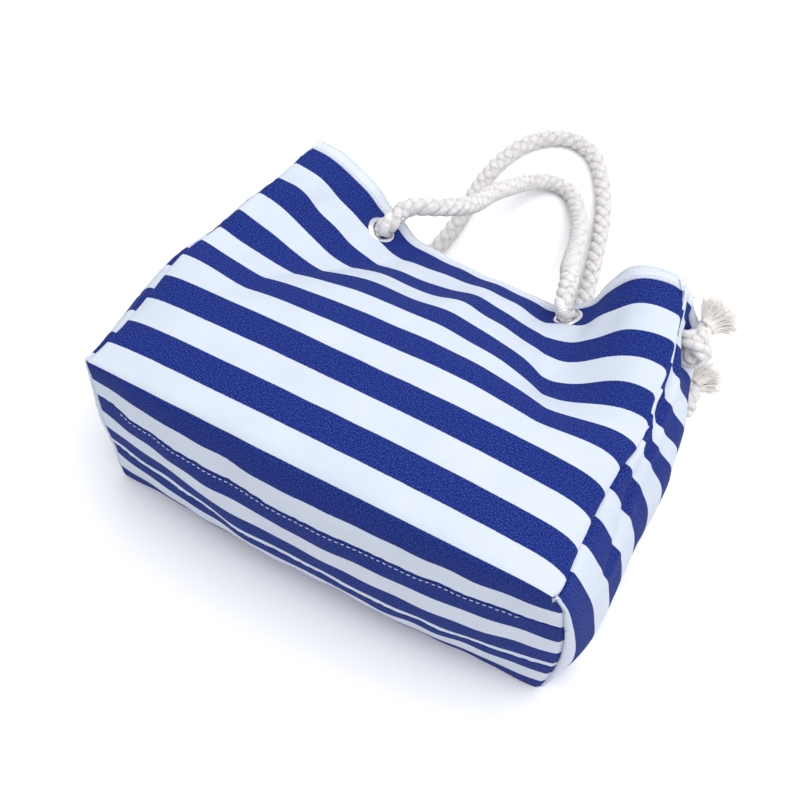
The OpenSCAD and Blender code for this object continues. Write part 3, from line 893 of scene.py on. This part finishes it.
# The front right corner of the base is tucked in
corner = np.exp(-(wrap_s / 14) ** 2)[:, None] * smooth((us[None, :] - 0.80) / 0.20)
wrap[..., 0] -= CORNER_TUCK[0] * corner
wrap[..., 2] -= CORNER_TUCK[1] * corner

broad = waves(9, 170, 70, 3)
small = waves(10, 60, 24, 4)
pucker = waves(12, 16, 7, 5)


def wrap_relief(s):
    """How far the cloth stands off its smooth shape, in mm: slack waves, seam grooves and puckers."""
    x = us[None, :] * PANEL_W / 2
    t = s[:, None]
    v = np.where(t >= 0, t, np.where(t < -BODY_D, -BODY_D - t, 0))
    on_front = t >= 0
    on_base = (t < 0) & (t > -BODY_D)
    towards_rim = smooth((v - 170) / 110)
    relief = broad(x, t) * np.where(on_front, 0.35 + 0.8 * towards_rim, np.where(on_base, 1.0, 0.3))
    relief += small(x, t * 0.6) * np.where(on_front, 0.2 + 0.7 * towards_rim, np.where(on_base, 0.5, 0.1))
    from_side = (1 - np.abs(us[None, :])) * PANEL_W / 2
    relief += 0.25 * pucker(x * 0.3, t) * np.exp(-from_side / 9)
    relief -= 2.6 * np.exp(-(from_side / 2.2) ** 2) * (1 - smooth((v - 275) / 20))
    for seam in (-FRONT_SEAM, -BACK_SEAM):
        away = t - seam
        relief -= 1.3 * np.exp(-(away / 1.0) ** 2)
        relief += 0.6 * np.exp(-((away + 4 * np.sign(away + 0.01)) / 3.0) ** 2) * np.where(away < 0, 1, 0.3)
        relief += 0.35 * pucker(x, t * 0.3) * np.exp(-np.abs(away) / 6)
    return relief * np.where(on_front | on_base, 1, 0.8)


wrap_out = wrap + wrap_relief(wrap_s)[..., None] * normals_of(wrap)
wrap_out[..., 2] = np.maximum(wrap_out[..., 2], CLOTH_GAP)
wrap_in = wrap_out - CANVAS_T * normals_of(wrap)


def rows_between(low, high):
    """Rows of the wrap from one distance along the cloth to another."""
    return np.where((wrap_s >= low - 1e-6) & (wrap_s <= high + 1e-6))[0]


def wrap_uv(rows, from_s):
    x = us[None, :] * PANEL_W / 2 + 0 * rows[:, None]
    along = from_s(wrap_s[rows])[:, None] + 0 * us[None, :]
    return np.stack([x, along], -1) * MM


def panel(name, low, high, node, from_s):
    """One sewn panel of the wrap; from_s gives its place along the stripes."""
    rows = rows_between(low, high)
    made = cloth_shell(name, wrap_out[rows], wrap_in[rows], wrap_uv(rows, from_s), [canvas, canvas_inside])
    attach(made, "bag")
    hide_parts(node)
    return made


front_canvas = panel("front_canvas", -FRONT_SEAM, PANEL_H + 5, "front_panel", lambda s: s)
base_canvas = panel("base_canvas", -BACK_SEAM, -FRONT_SEAM, "base_strip", lambda s: s)
back_canvas = panel("back_canvas", -BODY_D - PANEL_H - 5, -BACK_SEAM, "back_panel", lambda s: -BODY_D - s)

# ---- Gussets ----

SIDE_KNOTS = {1: (0.20, 0.70), -1: (0.36, 0.78)}


def side_bulge(side, v):
    """How far the middle of a gusset stands out at height v."""
    if side > 0:
        return mix(END_BULGE, RIGHT_BULGE, 1 - np.exp(-v / 22)) - 8 * smooth((v - 180) / 110)
    return (LEFT_BULGE * (1 - np.exp(-v / 30)) - (LEFT_BULGE - 12) * smooth((v - 90) / 80)
            - LEFT_FOLD * smooth((v - 170) / 130))


def pinch(side, a, v):
    """How far the knots' ropes pull a gusset in."""
    return KNOT_PINCH * np.sqrt(hump(a)) * sum(
        np.exp(-((a - at) * BODY_D / 30) ** 2 - ((v - SIDE_EYELET_V) / 32) ** 2) for at in SIDE_KNOTS[side])


gusset_mm = spaced(0, BODY_D, 2.5, (0, BODY_D))
gusset_a = gusset_mm / BODY_D


def gusset_surface(side):
    """The gusset between the panels' side edges and the base's end, which it meets exactly."""
    col = -1 if side > 0 else 0
    edge_rows = np.where(wrap_s >= 0)[0]
    front_edge = wrap_out[edge_rows, col]
    back_edge = wrap_out[np.where(wrap_s <= -BODY_D)[0], col][::-1]
    a = gusset_a[None, :, None]
    v = front_vs[:, None]
    surface = mix(front_edge[:, None, :], back_edge[:, None, :], a)
    out = side_bulge(side, v) * hump(gusset_a)[None, :] ** 0.8 - pinch(side, gusset_a[None, :], v)
    surface[..., 0] += side * out
    base_rows = np.where((wrap_s <= 0) & (wrap_s >= -BODY_D))[0][::-1]
    end_s = -wrap_s[base_rows]
    end_line = wrap_out[base_rows, col]
    bottom = np.stack([np.interp(gusset_mm, end_s, end_line[:, k]) for k in range(3)], -1)
    surface += (bottom - surface[0])[None, :, :] * np.exp(-v / 14)[..., None]
    return surface


gusset_slack = {1: waves(8, 150, 60, 21), -1: waves(8, 150, 60, 22)}
side_fold = {1: 3.0, -1: 1.0}


def gusset_relief(side):
    """How far the gusset's cloth stands off its smooth shape, with the fold behind its front seam."""
    a = gusset_mm[None, :]
    v = front_vs[:, None]
    slack = gusset_slack[side]
    from_seam = np.minimum(np.minimum(a, BODY_D - a), v)
    relief = 1.6 * slack(a, v * 0.5) * smooth(from_seam / 30)
    fold_at = 9 + 34 * (1 - smooth((v - 60) / 110))
    depth = side_fold[side] * smooth((v - 40) / 50)
    if side > 0:
        depth = depth + 4 * smooth((v - 140) / 60) * (1 - smooth((v - 265) / 30))
    relief -= depth * np.exp(-((a - fold_at) / 6.0) ** 2)
    relief += 0.5 * side_fold[side] * np.exp(-((a - fold_at - 11) / 8) ** 2) * smooth((v - 40) / 50)
    relief += 0.3 * pucker(a * 0.3, v) * np.exp(-from_seam / 8) * (1 - np.exp(-from_seam / 4))
    relief += 2.0 * (1 - np.exp(-(from_seam / 2.2) ** 2)) - 2.0 * smooth(from_seam / 30)
    return relief * (1 - smooth((v - 285) / 20) * np.exp(-from_seam / 6))


BASE_SHIFT = 5              # of the right gusset's stripes beside the base
RIM_SHIFT = 15
FOLD_SHIFT = 25


def stripe_place(side, a, v):
    """How far along the printed cloth each point lies: half a stripe off the front panel's print."""
    along = v + STRIPE / 2 + 0 * a
    if side > 0:
        # The gusset was cut a little askew to its stripes
        along += BASE_SHIFT * (1 - smooth(a / 110)) * (1 - smooth((v - 8) / 25))
        # Across the fold the stripes jump by the width of cloth that is tucked into it
        past_fold = smooth((a - 4) / 10)
        along += RIM_SHIFT * smooth((v - 155) / 80) * smooth(a / 60)
        along += FOLD_SHIFT * past_fold * np.exp(-((a - 9) / 45) ** 2) * smooth((v - 135) / 60)
    return along


gusset_out = {}
for side, name in ((1, "right"), (-1, "left")):
    smooth_grid = gusset_surface(side)
    facing = side * normals_of(smooth_grid)
    grid = smooth_grid + gusset_relief(side)[..., None] * facing
    grid[..., 2] = np.maximum(grid[..., 2], CLOTH_GAP)
    gusset_out[side] = grid
    inner = grid - CANVAS_T * facing
    keep = front_vs <= PANEL_H + 5
    along = stripe_place(side, gusset_mm[None, :], front_vs[:, None])
    uv = np.stack([gusset_mm[None, :] + 0 * front_vs[:, None], along], -1) * MM
    made = cloth_shell(name + "_gusset_canvas", grid[keep], inner[keep], uv[keep], [canvas, canvas_inside])
    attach(made, "bag")
    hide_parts(name + "_gusset")

# ---- Hem tape, folded over the rim and sewn along both edges ----

# The tape's section: how far above PANEL_H, and how far off the canvas
TAPE_PROFILE = [
    (0, 0.1), (0.4, 0.9), (3, 1.1), (6, 1.0), (9.5, 1.1), (11.8, 0.9), (HEM_W, 0.1),
    (HEM_W, -0.9), (11.8, -1.9), (9.5, -2.2), (6, -2.1), (3, -2.2), (0.4, -2.0), (0, -1.3)]


def at_height(grid, heights, v):
    """The grid's row at height v, between its own rows."""
    k = int(np.clip(np.searchsorted(heights, v) - 1, 0, len(heights) - 2))
    return mix(grid[k], grid[k + 1], (v - heights[k]) / (heights[k + 1] - heights[k]))


rims = {
    "front": (wrap_out[np.where(wrap_s >= 0)[0]], 1, us * PANEL_W / 2),
    "back": (wrap_out[np.where(wrap_s <= -BODY_D)[0]][::-1], -1, us * PANEL_W / 2),
    "right": (gusset_out[1], 1, gusset_mm),
    "left": (gusset_out[-1], -1, gusset_mm)}


rim_facing = {where: flip * normals_of(grid) for where, (grid, flip, _) in rims.items()}
# The tape turns each corner of the mouth as a mitre
RIM_CORNERS = (
    ("front", -1, "right", 0),
    ("front", 0, "left", 0),
    ("back", -1, "right", -1),
    ("back", 0, "left", -1))
for panel_name, panel_end, gusset_name, gusset_end in RIM_CORNERS:
    mitre = unit(rim_facing[panel_name][:, panel_end] + rim_facing[gusset_name][:, gusset_end])
    rim_facing[panel_name][:, panel_end] = mitre
    rim_facing[gusset_name][:, gusset_end] = mitre


def rim_line(where, v, proud):
    """A line along one side of the mouth, this far off the canvas."""
    return at_height(rims[where][0], front_vs, v) + proud * at_height(rim_facing[where], front_vs, v)


def hem_tape(where):
    """White tape folded over one side of the mouth."""
    ring = np.stack([rim_line(where, PANEL_H + up, proud) for up, proud in TAPE_PROFILE], 1)
    across = rims[where][2]
    count = ring.shape[1]
    length = np.array([PANEL_H + up for up, _ in TAPE_PROFILE])
    uv = np.stack([across[:, None] + 0 * length[None, :], length[None, :] + 0 * across[:, None]], -1) * MM
    faces = [tuple(f) for f in grid_faces(ring.shape[0], count, closed=True)]
    faces += [tuple(range(count)), tuple(range((ring.shape[0] - 1) * count, ring.shape[0] * count))[::-1]]
    made = mesh_object("hem_tape_" + where, placed(ring.reshape(-1, 3)), faces, tape, uv.reshape(-1, 2))
    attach(made, "bag")
    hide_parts("rim_tape_" + where)


for where in rims:
    hem_tape(where)


# ---- Stitches ----

STITCH_STEP = 0.5
THREAD_RADII = np.array([0.22, 0.30, 0.33, 0.33, 0.30, 0.22])


def stitches(line, length, pitch, lift, normal):
    """Stitches a pitch apart along a line, each one bowed out of the cloth along its normal."""
    fine = resampled(line, STITCH_STEP)
    share = np.linspace(0, 1, len(fine))
    spots = np.linspace(0, 1, len(line))
    facing = unit(np.stack([np.interp(share, spots, normal[:, k]) for k in range(3)], -1))
    made = []
    span = int(length / STITCH_STEP)
    for start in range(2, len(fine) - span - 2, int(pitch / STITCH_STEP)):
        pick = np.linspace(start, start + span, 6).astype(int)
        bow = np.array([-0.25, 0.75, 1.0, 1.0, 0.75, -0.25]) * lift
        made.append((fine[pick] + bow[:, None] * facing[pick], THREAD_RADII, 6))
    return made


topstitch_row = int(np.argmin(np.abs(wrap_s + FRONT_SEAM + 3.6)))
topstitch_line = wrap_out[topstitch_row, 14:-14]
topstitch_facing = normals_of(wrap_out)[topstitch_row, 14:-14]
sewn = stitches(topstitch_line, 3.4, 5.4, 0.30, topstitch_facing)
base_thread = tubes_object("base_topstitch", sewn, thread)
hem_sewn = []
for where in rims:
    for v in (PANEL_H + 2.4, PANEL_H + 10):
        line = rim_line(where, v, 1.15)[3:-3]
        facing = at_height(rim_facing[where], front_vs, v)[3:-3]
        hem_sewn += stitches(line, 3.0, 4.2, 0.25, facing)
hem_thread = tubes_object("hem_stitches", hem_sewn, thread)
for made, slot in ((base_thread, "canvas"), (hem_thread, "hem_tape")):
    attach(made, "bag")

FLOOR_HALF = 6.0
floor = mesh_object("floor", [(-FLOOR_HALF, -FLOOR_HALF, 0), (FLOOR_HALF, -FLOOR_HALF, 0),
                              (FLOOR_HALF, FLOOR_HALF, 0), (-FLOOR_HALF, FLOOR_HALF, 0)], [(0, 1, 2, 3)],
                    floor_material())

for node_name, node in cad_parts.items():
    if node_name.startswith(("eyelet_", "washer_")):
        node.data.materials.clear()
        node.data.materials.append(metal)
